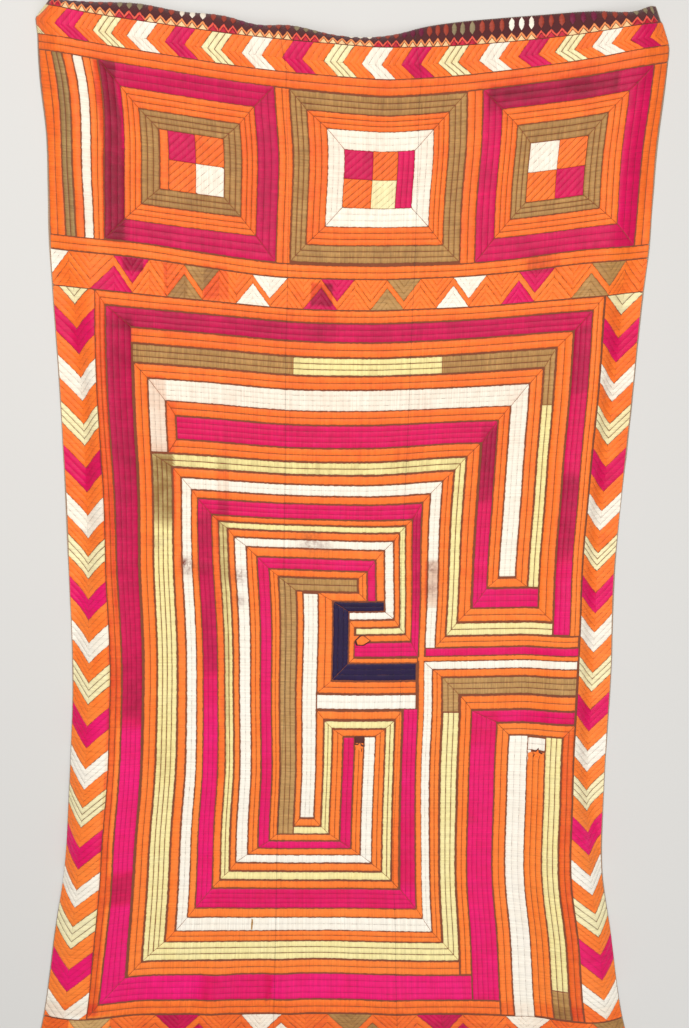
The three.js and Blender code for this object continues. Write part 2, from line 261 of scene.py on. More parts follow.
# Patches of tone on the silk, partly painted sheen and shade from how light falls on the floss, partly dye
# and wear changes; and stains
# each patch darkens or lightens the silk: partly painted sheen and shade where light falls on the cloth's
# slopes and folds, partly dye changes
SHEEN_AND_TONES = table("u0 u1 v0 v1 soft amount", [
    (348, 373, 900, 1640, 120, -.5), (348, 373, 1640, 1840, 40, -.2), (205, 250, 1480, 1640, 60, -.35),
    (118, 1137, 610, 660, 20, -.3), (250, 1000, 745, 885, 30, -.12), (118, 474, 137, 491, 30, -.16),
    (502, 850, 249, 373, 20, -.1),
    (116, 176, 640, 1485, 50, -.55), (116, 176, 1330, 1490, 40, -.2), (116, 176, 1500, 1815, 20, .3),
    (116, 176, 1820, 1890, 26, -.6), (116, 176, 1895, 2122, 20, .25), (96, 119, 600, 1330, 60, -.55),
    (1098, 1137, 650, 780, 30, -.45), (1098, 1137, 950, 1130, 30, -.5), (1098, 1137, 1145, 1290, 20, .2),
    (916, 950, 838, 1000, 30, -.5), (916, 950, 1100, 1232, 40, .2), (776, 800, 1030, 1250, 30, -.55),
    (303, 350, 1035, 1380, 40, -.5), (303, 350, 1440, 1900, 40, .3), (756, 806, 1690, 1850, 30, -.4),
    (180, 335, 2060, 2122, 24, .3), (340, 474, 2060, 2122, 30, -.15), (474, 490, 2050, 2130, 16, -.45),
    (492, 900, 2060, 2122, 20, .25), (118, 162, 137, 491, 12, -.75), (880, 1215, 130, 184, 60, -.2),
    (895, 1150, 130, 184, 60, -.5),
    (205, 254, 905, 1060, 50, -.9), (205, 243, 755, 912, 6, -.7), (240, 288, 520, 588, 10, -.5),
    (322, 374, 520, 588, 10, -.5), (155, 198, 520, 545, 6, -.8), (545, 590, 540, 588, 6, -.8),
    (990, 1060, 490, 522, 20, -.45), (1128, 1160, 1500, 2150, 60, -.25), (920, 982, 1455, 1530, 20, -.25),
    (0, 60, 139, 500, 20, -.12), (0, 1250, 1140, 1170, 16, -.12), (240, 264, 800, 905, 10, -.3),
    (812, 841, 1125, 1228, 10, -.9),
    (60, 110, 1250, 1460, 30, -.25), (1150, 1250, 560, 900, 60, -.08),
    (0, 1250, 1150, 2300, 400, .3), (0, 1250, 0, 500, 60, -.12), (96, 119, 1330, 2150, 60, -.7),
    (1131, 1160, 1480, 2155, 60, -.5), (0, 1250, 2120, 2300, 20, -.6), (62, 148, 2150, 2215, 10, 1.3),
    (160, 600, 560, 700, 80, -.15)])
SIDE_SOFT = 3  # how softly a patch of tone ends at its sides
STAINS = table("u v reach amount", [
    (283, 1150, 17, .8), (395, 1165, 15, .8), (395, 1218, 12, .6), (555, 1090, 24, .6), (825, 1140, 15, .8),
    (825, 1185, 20, .55), (272, 1142, 10, .6), (590, 1095, 16, .35), (700, 460, 8, .4),
    (1012, 505, 26, .35), (640, 1760, 14, .3), (210, 1105, 14, .4), (930, 1700, 10, .3)])


# the painted sheen and shade, and the dye changes, at places on the cloth
def sheen_and_tone_at(u, v):
    total = np.zeros(np.broadcast(u, v).shape)
    for u0, u1, v0, v1, soft, amount in zip(*SHEEN_AND_TONES.values()):
        inside = ease((u - u0) / SIDE_SOFT + .5) * ease((u1 - u) / SIDE_SOFT + .5)
        inside = inside * ease((v - v0) / soft + .5) * ease((v1 - v) / soft + .5)
        total = total + amount * inside
    return np.clip(total, -1, 1)


def stain_at(u, v):
    total = np.zeros(np.broadcast(u, v).shape)
    for su, sv, reach, amount in zip(*STAINS.values()):
        total = total + amount * np.exp(-(((u - su) ** 2 + (v - sv) ** 2) / reach**2))
    return np.clip(total, 0, 1)


# Rows of stitching
ROW_GAPS = {"white": 0.0, "cream": 0.5, "yellow": 1.0, "orange": 0.45, "magenta": 0.0, "brown": 0.9,
            "tan": 1.2, "navy": 0.0}
OTHER_GAP = 0.8
# cotton left bare on each side of a band of rows
BAND_MARGIN = 0.36
BAND_MARGINS = {"yellow": 0.62, "brown": 0.62, "tan": 0.62, "cream": 0.55}
DYE_LOT = 0.13        # how far the tone of one length of thread strays
STITCH_STEP = 4.2
ACROSS_ROW = np.array([0.0, 0.1, 0.5, 0.9, 1.0])
ROW_DOME = np.array([-0.35, 0.4, 0.6, 0.4, -0.35])
# painted shade across a row: darkest at its two edges, where the floss dips into the cloth
ROW_EDGE_SHADE = np.array([1.0, 0.15, 0.0, 0.15, 1.0])


def grid_faces(rows, columns):
    at = np.arange(rows * columns).reshape(rows, columns)
    return np.stack([at[:-1, :-1], at[:-1, 1:], at[1:, 1:], at[1:, :-1]], axis=-1).reshape(-1, 4)


class Silk:
    """All the stitching of one thread colour: its faces, and what its points hold, by name."""

    def __init__(self):
        self.faces, self.points, self.count = [], {}, 0

    def add(self, u, v, lift, edge, upright, dye):
        u, v = wander(u, v)
        # tone holds the patches of painted sheen and shade and of dye, with this thread's dye lot
        made = {"place": on_cloth(u, v, lift), "flat": np.stack([u, LENGTH - v], axis=-1),
                "thread": np.stack([u, v] if upright else [v, u], axis=-1) * 0.001, "across": u * 0.001,
                "tone": np.clip(sheen_and_tone_at(u, v) + dye, -1, 1), "stain": stain_at(u, v),
                # edge: how deep the painted shade at the edges of the rows is
                "edge": np.broadcast_to(edge, u.shape)}
        for name, values in made.items():
            self.points.setdefault(name, []).append(values.reshape(u.size, *values.shape[2:]))
        self.faces.append(self.count + grid_faces(*u.shape))
        self.count += u.size


SILK = {}
PART = ["field"]  # the part of the cloth that is being worked


def chords(poly, along, off, s):
    """Where lines along a row enter and leave a convex shape."""
    start, end = np.full(len(s), np.inf), np.full(len(s), -np.inf)
    for a, b in zip(poly, np.roll(poly, -1, axis=0)):
        sa, sb = a @ off, b @ off
        if abs(sb - sa) < 1e-6:
            continue
        f = (s - sa) / (sb - sa)
        t = a @ along + (b - a) @ along * f
        ok = (f > -1e-6) & (f < 1 + 1e-6)
        start = np.where(ok, np.minimum(start, t), start)
        end = np.where(ok, np.maximum(end, t), end)
    return start, end


def fill(colour, poly, along, rows, thread="across", lift=0.0, gap=None, step=STITCH_STEP, inset=0.5,
         margin=None, edge=1.0):
    """Fills a convex shape with rows that run one way: the floss lies across them, upright or level."""
    silk = SILK.setdefault((PART[0], colour), Silk())
    poly = np.array(poly, float)
    along = np.array(along, float) / np.hypot(*along)
    off = np.array([-along[1], along[0]])
    reach = poly @ off
    if margin is None:
        margin = BAND_MARGINS.get(colour, BAND_MARGIN)
    low, high = reach.min() + margin, reach.max() - margin
    gap = ROW_GAPS.get(colour, OTHER_GAP) if gap is None else gap
    upright = abs(along[0]) > abs(along[1]) if thread == "across" else thread == "upright"
    dye = rng.uniform(-DYE_LOT, DYE_LOT)
    pitch = (high - low) / rows
    for i in range(rows):
        half = gap / 2 * rng.uniform(0.8, 1.25)
        s = low + i * pitch + half + (pitch - 2 * half) * ACROSS_ROW
        start, end = chords(poly, along, off, s)
        start, end = start + inset, end - inset
        good = end > start
        if not good.any() or (end - start)[good].max() < 2.5:
            continue
        middle = (start + end) / 2
        start, end = np.where(good, start, middle), np.where(good, end, middle)
        start = np.where(np.isfinite(start), start, np.nanmean(middle[np.isfinite(middle)]))
        end = np.where(np.isfinite(end), end, start)
        length = (end - start).max()
        parts = max(2, int(round(length / step)))
        tip = min(0.25, 1.1 / length)
        f = np.concatenate([[0], np.linspace(tip, 1 - tip, parts), [1]])[:, None]
        t = start + (end - start) * f
        stray, height = handwork(len(f), i == 0, i == rows - 1, gap, sunk_ends=inset > 0.3)
        s = s + stray
        # the rows are darker at their edges: painted shade, scaled by edge
        silk.add(t * along[0] + s * off[0], t * along[1] + s * off[1], SILK_BED + lift + height,
                 ROW_EDGE_SHADE * edge, upright, dye)


def handwork(count, first, last, gap, sunk_ends):
    """How far the ends of a row's stitches stray, and its low dome, closed up where rows touch."""
    stray = rng.uniform(-1, 1, (count, 2)) * (0.65 if first else 0.3, 0.65 if last else 0.3)
    height = ROW_DOME * rng.uniform(0.85, 1.15) * (1 + rng.uniform(-.07, .07, (count, 1)))
    if gap < 0.4:
        height[:, 0] += 0 if first else 0.3
        height[:, -1] += 0 if last else 0.3
    if sunk_ends:
        height[0], height[-1] = -0.35, -0.35
    return stray[:, [0, 0, 0, 1, 1]] * (1, 0.8, 0, 0.8, 1), height


def stripe(colour, tops, feet, v0, v1, rows):
    """Rows down the cloth between two sides that are not parallel."""
    silk = SILK.setdefault((PART[0], colour), Silk())
    gap, dye = ROW_GAPS.get(colour, OTHER_GAP), rng.uniform(-DYE_LOT, DYE_LOT)
    margin = BAND_MARGINS.get(colour, BAND_MARGIN)
    f = np.linspace(0, 1, int((v1 - v0) / STITCH_STEP))[:, None]
    left = tops[0] + (feet[0] - tops[0]) * f + margin
    right = tops[1] + (feet[1] - tops[1]) * f - margin
    pitch = (right - left) / rows
    for i in range(rows):
        stray, height = handwork(len(f), i == 0, i == rows - 1, gap, sunk_ends=True)
        u = left + pitch * i + gap / 2 + (pitch - gap) * ACROSS_ROW + stray
        silk.add(u, v0 + (v1 - v0) * f + 0 * u, SILK_BED + height, ROW_EDGE_SHADE, False, dye)


def band(colour, u0, v0, u1, v1, rows, way):
    fill(colour, [(u0, v0), (u1, v0), (u1, v1), (u0, v1)], (1, 0) if way == "H" else (0, 1), rows)


def frame_of(colour, rows, outer, inner):
    """Four mitred bands between two rectangles."""
    a, b, c, d = outer
    e, f, g, h = inner
    fill(colour, [(a, b), (c, b), (g, f), (e, f)], (1, 0), rows)
    fill(colour, [(c, b), (c, d), (g, h), (g, f)], (0, 1), rows)
    fill(colour, [(c, d), (a, d), (e, h), (g, h)], (1, 0), rows)
    fill(colour, [(a, d), (a, b), (e, f), (e, h)], (0, 1), rows)


def path(colour, start, legs, end):
    """A band that turns mitred corners: each leg is its way, its two sides and its rows."""
    legs = [leg.split() for leg in legs.split(";")]
    sides = [(start, start)] + [(float(leg[1]), float(leg[2])) for leg in legs] + [(end, end)]
    middles = [(low + high) / 2 for low, high in sides]
    for i, (way, _, _, rows) in enumerate(legs, 1):
        forward = middles[i + 1] > middles[i - 1]
        low, high = sides[i]
        ends = []
        for step in (-1, 1):
            # the corner's outer side is the far one, and the inner side faces where the other leg goes
            inner, outer = sides[i + step] if (step > 0) == forward else sides[i + step][::-1]
            beyond = middles[min(max(i + 2 * step, 0), len(legs) + 1)]
            ends.append((outer, inner) if beyond > middles[i] else (inner, outer))
        (a_low, a_high), (b_low, b_high) = ends
        if way == "H":
            fill(colour, [(a_low, low), (b_low, low), (b_high, high), (a_high, high)], (1, 0), int(rows))
        else:
            fill(colour, [(low, a_low), (low, b_low), (high, b_high), (high, a_high)], (0, 1), int(rows))


def within(poly, u0, v0, u1, v1):
    """A convex shape cut off at the sides of a rectangle, or nothing where it is all outside."""
    for axis, limit, above in ((0, u0, True), (0, u1, False), (1, v0, True), (1, v1, False)):
        kept = []
        for a, b in zip(poly, poly[1:] + poly[:1]):
            a_in, b_in = ((point[axis] >= limit) == above for point in (a, b))
            if a_in:
                kept.append(a)
            if a_in != b_in:
                f = (limit - a[axis]) / (b[axis] - a[axis])
                kept.append(tuple(a[k] + (b[k] - a[k]) * f for k in (0, 1)))
        poly = kept
        if len(poly) < 3:
            return None
    return poly


def fill_within(box, colour, poly, along, rows, **more):
    """Fills what lies inside a box, with short stitches right up to the ends of the rows."""
    poly = within(poly, *box)
    if poly:
        fill(colour, poly, along, rows, step=4, inset=0.05, **more)


# The chart: the maze field
def maze():
    path("orange", 1290, "V 1136 1157 2;H 589 615 2;V 98 118 2;H 2122 2153 2", 979)
    path("magenta", 1288, "V 1100 1135 3;H 617 654 3;V 120 172 4;H 2063 2120 4", 920)
    path("orange", 172, "H 656 686 2;V 1065 1097 2;H 1232 1260 2;V 887 914 2;H 882 910 2;V 243 262 1;"
         "H 802 831 2;V 950 973 2;H 1168 1187 1;V 1012 1038 2;H 728 756 2;V 177 205 2;H 2030 2061 2", 893)
    path("brown", 175, "H 688 726 3", 512)
    path("yellow", 512, "H 688 726 3", 825)
    path("brown", 825, "H 688 726 3;V 1040 1063 2", 803)
    path("yellow", 803, "V 1040 1063 2", 1187)
    path("white", 909, "V 207 241 3;H 758 801 4;V 975 1010 3", 1164)
    path("magenta", 264, "H 833 880 4;V 918 948 3;H 1190 1230 3", 1063)
    path("yellow", 1097, "H 1263 1290 2;V 862 885 2;H 912 939 2;V 207 249 4;H 1985 2028 3;V 857 893 3", 1460)
    path("brown", 1458, "V 856 892 3;H 1382 1420 3", 1155)
    path("orange", 1155, "H 1292 1315 2;V 839 860 2;H 941 960 1;V 251 268 1;H 1960 1984 2;V 834 854 2;"
         "H 1364 1380 1", 1155)
    path("white", 1316, "V 815 837 2;H 962 984 2;V 270 290 2;H 1929 1959 2;V 813 832 2;H 1346 1363 1", 1155)
    path("magenta", 816, "H 1317 1334 1", 1157)
    path("orange", 797, "H 1335 1345 1", 1157)
    frame_of("orange", 1, (291, 986, 813, 1928), (304, 1002, 799, 1907))
    path("magenta", 652, "H 1303 1334 3;V 779 797 2;H 1004 1035 3;V 305 335 3;H 1862 1906 4;"
         "V 762 797 3", 1452)
    path("orange", 640, "H 1286 1300 1;V 765 778 1;H 1037 1048 1;V 336 350 1;H 1843 1860 1;V 743 758 1;"
         "H 1456 1474 1;V 570 586 1;H 1700 1717 1;V 521 534 1", 1192)
    path("yellow", 655, "H 1270 1284 1;V 751 764 1;H 1050 1063 1;V 351 370 2;H 1822 1841 1;V 722 741 2;"
         "H 1478 1495 1;V 588 607 2;H 1718 1735 1", 520)
    path("orange", 795, "H 1338 1348 1;V 640 651 1;H 1253 1268 1;V 739 750 1;H 1065 1080 1;V 372 384 1;"
         "H 1803 1820 1;V 702 721 2;H 1497 1512 1;V 609 631 2;H 1736 1750 1;V 461 479 2;H 1147 1161 1;"
         "V 661 679 2;H 1193 1210 1;V 570 602 2;H 1390 1416 2", 792)
    path("white", 640, "H 1235 1250 1;V 719 737 1;H 1082 1099 1;V 386 410 2;H 1784 1801 1;V 679 701 2", 1514)
    path("orange", 1210, "V 700 717 1;H 1101 1120 1;V 412 433 2;H 1769 1783 1;V 658 677 2", 1514)
    path("magenta", 1210, "V 681 698 1;H 1122 1145 2;V 435 459 2;H 1752 1768 1;V 633 656 2", 1515)
    path("brown", 658, "H 1163 1191 2;V 481 519 3", 1735)
    path("white", 1196, "V 536 568 3", 1697)
    path("white", 570, "H 1420 1451 2", 792)
    path("navy", 716, "H 1212 1232 2;V 604 638 3;H 1350 1387 3", 792)
    path("magenta", 1155, "H 1456 1482 2;V 922 979 5", 2120)
    path("orange", 1155, "H 1423 1453 2;V 896 920 2", 2060)
    path("orange", 2153, "V 981 1008 2;H 1485 1511 2;V 1133 1157 2", 2153)
    path("white", 1513, "V 1010 1052 3", 2156)
    path("orange", 1547, "V 1053 1093 3", 2152)
    path("yellow", 1513, "V 1094 1131 3", 2085)
    path("brown", 2086, "V 1094 1131 3", 2152)


def star(u, v, reach, colour, lift):
    """A small five-pointed mark worked over the ends of the rows."""
    for k in range(5):
        turn = math.pi * (2 * k / 5 - 0.5) + 0.2
        tip = (u + reach * math.cos(turn), v + reach * math.sin(turn))
        sides = []
        for way in (-.75, .75):
            sides.append((u + 0.5 * reach * math.cos(turn + way), v + 0.5 * reach * math.sin(turn + way)))
        shape = [(u, v), sides[0], tip, sides[1]]
        fill(colour, shape, (math.cos(turn), math.sin(turn)), 1, lift=lift, gap=0, step=3, inset=0, margin=0)


def small_marks():
    fill("white", [(1053, 1516), (1093, 1516), (1093, 1543), (1053, 1543)], (1, 0), 2)
    fill("white", [(1053, 1543), (1061, 1543), (1058, 1572), (1054, 1572)], (0, 1), 1, margin=0.2)
    star(1076, 1550, 13, "deepbrown", 0.5)
    star(1076, 1552, 11, "orange", 1.1)
    fill("deepbrown", [(656, 1513), (678, 1511), (679, 1527), (657, 1529)], (1, 0), 1, lift=0.2)
    star(668, 1535, 13, "deepbrown", 0.5)
    star(667, 1537, 11, "orange", 1.1)
    leaf = [(648, 1304), (657, 1289), (670, 1284), (690, 1296), (679, 1307), (660, 1311)]
    fill("deepbrown", leaf, (1, 0), 1, lift=0.5, step=3, inset=0, margin=0)
    small = [(669 + 0.8 * (u - 668), 1298 + 0.78 * (v - 1299)) for u, v in leaf]
    fill("orange", small, (1, 0), 1, lift=1.1, step=3, inset=0, margin=0)
    dash = [(425, 1931), (429, 1931), (430, 1958), (426, 1958)]
    fill("brown", dash, (0, 1), 1, lift=0.3, inset=0, margin=0)


# The chart: squares
def frames(colours, *rectangles):
    """Frames of three rows each, one within another."""
    for colour, outer, inner in zip(colours.split(), rectangles, rectangles[1:]):
        frame_of(colour, 3, outer, inner)


def quarters(across, down, colours):
    """Four small squares worked aslant, in a square of their own."""
    for k, colour in enumerate(colours.split()):
        (u0, u1), (v0, v1) = across[k % 2:k % 2 + 2], down[k // 2:k // 2 + 2]
        # edge: how deep the painted shade at the edges of the rows is
        fill(colour, [(u0, v0), (u1, v0), (u1, v1), (u0, v1)], (1, -1), 7, thread="upright", gap=0.12,
             margin=0.2, edge=1.0 if colour == "orange" else 0.45)


def squares():
    frames("magenta orange brown", (120, 137, 472, 491), (160, 182, 430, 446), (194, 220, 398, 412),
           (231, 255, 362, 376))
    band("orange", 232, 255, 250, 376, 1, "V")
    quarters((250, 305, 362), (255, 314, 376), "magenta orange orange white")
    frames("brown orange white", (502, 139, 850, 488), (534, 176, 815, 453), (572, 209, 784, 415),
           (605, 249, 747, 373))
    quarters((605, 663, 713), (249, 310, 373), "magenta orange orange cream")
    band("magenta", 713, 249, 747, 373, 3, "V")
    frames("magenta orange brown", (882, 138, 1215, 492), (920, 182, 1170, 447), (952, 219, 1133, 413),
           (982, 260, 1098, 382))
    quarters((982, 1041, 1098), (260, 321, 382), "white orange orange magenta")
    for left, right in ((473, 501), (851, 881), (1216, 1248)):
        band("orange", left, 138, right, 492, 2, "V")
    for top, foot in ((106, 137), (493, 519)):
        band("orange", 2.5, top, 1248, foot, 2, "H")
    for colour, rows, top_left, top_right, foot_left, foot_right in (
            ("orange", 2, 3, 25, 3, 38), ("tan", 2, 25, 47, 39, 61), ("orange", 1, 47.5, 66, 62, 80),
            ("white", 1, 67, 86, 81, 98), ("orange", 2, 87, 118, 99, 119)):
        stripe(colour, (top_left, top_right), (foot_left, foot_right), 138, 492, rows)


# The chart: chevrons and triangles
CHEVRON_FROM = [-75, -42, -4, 48, 86, 122, 160, 190, 229, 265, 303, 335, 374, 414, 453, 493, 532, 574,
                612, 648, 687, 725, 763, 797, 836, 877, 915, 953, 991, 1023, 1061, 1094, 1132, 1167,
                1206, 1252]
CHEVRON_COLOURS = ["orange", "cream"] + ["orange", "magenta", "orange", "cream", "orange", "white"] * 6
CHEVRON_TOP, CHEVRON_TIP, CHEVRON_FOOT = 50.0, 82.0, 105.0
# each colour's gap between rows, and how deep the painted shade at the rows' edges is
CHEVRON_ROWS = {"magenta": {"gap": 0.0, "edge": 0.5}, "orange": {"gap": 0.0, "edge": 0.45},
                "white": {"gap": 0.0, "edge": 1.3}, "cream": {"gap": 0.7, "edge": 1.0}}
LEFT_TIPS = [588, 622, 670, 722, 770, 818, 865, 910, 955, 1005, 1053, 1100, 1138, 1185, 1227, 1270, 1318,
             1361, 1402, 1449, 1495, 1542, 1588, 1632, 1672, 1716, 1761, 1809, 1856, 1896, 1939, 1991,
             2039, 2090, 2135, 2185, 2225]
RIGHT_TIPS = [588, 632, 678, 727, 769, 806, 851, 896, 941, 993, 1034, 1076, 1122, 1161, 1206, 1250, 1291,
              1335, 1379, 1421, 1460, 1507, 1550, 1596, 1636, 1681, 1726, 1775, 1820, 1863, 1905, 1959,
              2000, 2058, 2105, 2150, 2200]
TIP_CYCLE = ["cream", "orange", "magenta", "orange", "white", "orange"]
CHEVRON_SLOPE = 0.94


def chevron_row():
    for a, b, colour in zip(CHEVRON_FROM[:-1], CHEVRON_FROM[1:], CHEVRON_COLOURS):
        for edge, shift in ((CHEVRON_TOP, 28), (CHEVRON_FOOT, 22)):
            poly = [(a, CHEVRON_TIP), (b, CHEVRON_TIP), (b + shift, edge), (a + shift, edge)]
            fill_within((2.5, 40, 1248, 120), colour, poly, (shift, edge - CHEVRON_TIP),
                        3 if b - a > 25 else 1, thread="upright", margin=0.1, **CHEVRON_ROWS[colour])


def side_strips():
    for tips, left, middle, right in ((LEFT_TIPS, 2.5, 49, 97), (RIGHT_TIPS, 1160, 1207, 1247.5)):
        for k, (a, b) in enumerate(zip(tips[:-1], tips[1:])):
            colour = TIP_CYCLE[k % 6]
            for side in (left, right):
                up = CHEVRON_SLOPE * abs(side - middle)
                poly = [(middle, a), (middle, b), (side, b - up), (side, a - up)]
                if k == 0:
                    corner = middle + (b - a) / CHEVRON_SLOPE * (1 if side > middle else -1)
                    poly = [(middle, a), (middle, b), (corner, a)]
                fill_within((left, 589, right, 2153), colour, poly, (side - middle, -up), 3 if k else 2,
                            thread="level", margin=0.15, **CHEVRON_ROWS[colour])


# edge: how deep the painted shade at the edges of the rows is
TRIANGLE_ROWS = {"thread": "level", "gap": 0.0, "margin": 0.08, "edge": 0.5}
ZIGZAG_ROW = {"thread": "level", "gap": 0.1, "margin": 0.15, "edge": 0.6}


def triangle_band(top, foot, thick, tips, apexes, upper, lower, rows=3):
    """Triangles that point down between triangles that point up, with an orange zigzag row between."""
    box = (2.5, top, 1248, foot)
    far, near = foot - thick, top + thick
    for k, tip in enumerate(tips):
        for side in (apexes[k], apexes[k + 1]):
            along = (tip - side, far - top)
            fill_within(box, upper[k % len(upper)], [(side, top), (tip, far), (tip, top)], along, rows,
                        **TRIANGLE_ROWS)
            fill_within(box, "orange", [(side, top), (tip, far), (tip, foot), (side, near)], along, 1,
                        **ZIGZAG_ROW)
    for k, apex in enumerate(apexes):
        for tip in tips[max(k - 1, 0):k + 1]:
            fill_within(box, lower[k], [(tip, foot), (apex, near), (apex, foot)], (tip - apex, foot - near),
                        rows, **TRIANGLE_ROWS)


def upper_triangles():
    tips = [-2, 88, 175, 247, 320, 391, 460, 530, 600, 669, 738, 806, 873, 941, 1010, 1088, 1165, 1240, 1310]
    apexes = [-45, 42, 138, 210, 283, 355, 425, 497, 567, 635, 703, 772, 840, 907, 975, 1048, 1125, 1200,
              1275, 1345]
    upper = "white orange magenta orange brown orange".split()
    triangle_band(521, 587, 18, tips, apexes, upper, upper * 3 + ["orange"] * 2)


def lower_triangles():
    tips = [12, 105, 198, 294, 385, 467, 563, 660, 756, 852, 945, 1032, 1125, 1218, 1310]
    apexes = [-40, 60, 150, 245, 338, 427, 512, 610, 705, 800, 897, 990, 1085, 1175, 1265, 1350]
    upper = "orange brown orange magenta orange white".split()
    lower = ["orange"] + upper * 2 + ["orange"] * 3
    triangle_band(2156, 2226, 20, tips, apexes, upper, lower, 4)
    band("orange", 3, 2228, 1247, 2251, 2, "H")


# The chart: the far border
TRIOS_FROM = [35, 203, 386, 545, 704, 851, 1023, 1208, 1380]  # where each third trio of teeth is centred
TOOTH_COLOURS = [("rose", "crimson"), ("peach", "blush"), ("peach", "blush")]
SPINDLE_COLOURS = ["greygreen", "rust", "white", "rust", "maroon", "rust"]
TOOTH_FOOT, TOOTH_TIP, SPINDLE_FOOT, SPINDLE_TIP = 48.5, 31.0, 29.0, 2.5
TOOTH_ROWS = {"thread": "upright", "gap": 0.3, "step": 3, "margin": 0.1}


def far_border():
    tooth = np.arange(-9, 72)
    places = np.interp(tooth / 9, np.arange(-1, 8), TRIOS_FROM)
    for k, middle in zip(tooth, places):
        half = (np.interp((k + 1) / 9, np.arange(-1, 8), TRIOS_FROM) - middle) / 2
        if middle - half < 3 or middle + half > WIDTH - 3 or half <= 0:
            continue
        trio = (k + 1) // 3
        outline, inner = TOOTH_COLOURS[trio % 3]
        for way in (-1, 1):
            arm = [(middle, TOOTH_TIP), (middle + way * half, TOOTH_FOOT - 5.5),
                   (middle + way * half, TOOTH_FOOT), (middle, TOOTH_TIP + 6.5)]
            fill(outline, arm, (way * half, 12), 1, inset=0.05, **TOOTH_ROWS)
        core = [(middle - half + 2, TOOTH_FOOT), (middle, TOOTH_TIP + 7.5), (middle + half - 2, TOOTH_FOOT)]
        fill(inner, core, (0, 1), 1, inset=0.2, **TOOTH_ROWS)
        centre, reach = (SPINDLE_FOOT + SPINDLE_TIP) / 2, (SPINDLE_FOOT - SPINDLE_TIP) / 2
        turns = np.linspace(0, 2 * math.pi, 14, endpoint=False) + math.pi / 14
        wide = 5.4 + rng.uniform(-.5, .5)
        lens = [(middle + wide * math.cos(a) * (1 - 0.25 * math.sin(a) ** 2), centre + reach * math.sin(a))
                for a in turns]
        fill(SPINDLE_COLOURS[trio % 6], lens, (0, 1), 1, thread="level", gap=0.1, step=3, inset=0.1, margin=0)


maze()
PART[0] = "mark"
small_marks()
PART[0] = "top"
squares()
chevron_row()
upper_triangles()
far_border()
PART[0] = "sides"
side_strips()
lower_triangles()


# Materials
def linear(rgb):
    """A colour as it is seen, from 0 to 255, turned into what a shader takes."""
    shares = [value / 255 for value in rgb]
    return tuple(c / 12.92 if c <= 0.04045 else ((c + 0.055) / 1.055) ** 2.4 for c in shares) + (1,)


class Nodes:
    """Short ways to add and join shader nodes."""

    def __init__(self, name):
        self.material = bpy.data.materials.new(name)
        self.material.use_nodes = True
        self.tree = self.material.node_tree
        self.shader = self.tree.nodes["Principled BSDF"]

    def add(self, kind, **values):
        node = self.tree.nodes.new(kind)
        for key, value in values.items():
            if key.startswith("_"):
                setattr(node, key[1:], value)
            elif key[0] == "i" and key[1:].isdigit():
                self.put(node.inputs[int(key[1:])], value)
            else:
                self.put(node.inputs[key], value)
        return node

    def put(self, socket, value):
        if isinstance(value, bpy.types.NodeSocket):
            self.tree.links.new(value, socket)
        else:
            socket.default_value = value

    def math(self, operation, a, b=0.0, clamp=False):
        return self.add("ShaderNodeMath", _operation=operation, _use_clamp=clamp, i0=a, i1=b).outputs[0]

    def times(self, a, b, clamp=False):
        return self.math("MULTIPLY", a, b, clamp)

    def swing(self, value, amount):
        """A value between 0 and 1, made to swing about nought."""
        return self.times(self.math("SUBTRACT", value, 0.5), amount)

    def mix(self, share, a, b, blend="MIX"):
        node = self.tree.nodes.new("ShaderNodeMix")
        node.data_type = "RGBA"
        node.blend_type = blend
        for socket, value in ((node.inputs[0], share), (node.inputs[6], a), (node.inputs[7], b)):
            self.put(socket, value)
        return node.outputs[2]

    def attribute(self, name):
        return self.add("ShaderNodeAttribute", _attribute_name=name).outputs["Fac"]

    def noise(self, vector, scale, detail=2.0, rough=0.5):
        node = self.add("ShaderNodeTexNoise", Vector=vector, Scale=scale, Detail=detail, Roughness=rough)
        return node.outputs[0]

    def streaky(self, vector, across, down, detail=3.0, rough=0.5):
        """Noise drawn out one way, as in thread that varies along its length."""
        scaled = self.add("ShaderNodeVectorMath", _operation="MULTIPLY", i0=vector, i1=(across, down, 1))
        return self.noise(scaled.outputs[0], 1.0, detail, rough)

    def spread(self, value, low, high, start=0.0, end=1.0):
        """A value from start to end, stretched to go from low to high."""
        return self.add("ShaderNodeMapRange", Value=value, i1=start, i2=end, i3=low, i4=high).outputs[0]

    def shaded(self, colour, shade):
        grey = self.add("ShaderNodeCombineColor", Red=shade, Green=shade, Blue=shade)
        return self.mix(1.0, colour, grey.outputs[0], "MULTIPLY")

    def finish(self, colour, roughness, height, strength, depth):
        """Joins the colour, the roughness and the fine relief to the shader."""
        bump = self.add("ShaderNodeBump", Strength=strength, Distance=depth, Height=height)
        self.put(self.shader.inputs["Base Color"], colour)
        self.put(self.shader.inputs["Roughness"], roughness)
        self.put(self.shader.inputs["Normal"], bump.outputs[0])
        return self.material


THREAD_PITCH = 0.00115   # one strand of floss
STREAKS = {"brown": 1.1, "tan": 1.1, "white": 0.25, "magenta": 0.35}  # how uneven the dye is
OTHER_STREAKS = 0.5
SEAM_SHADE, SEAM_NEAR, SEAM_FAR = 0.74, 0.0005, 0.0014


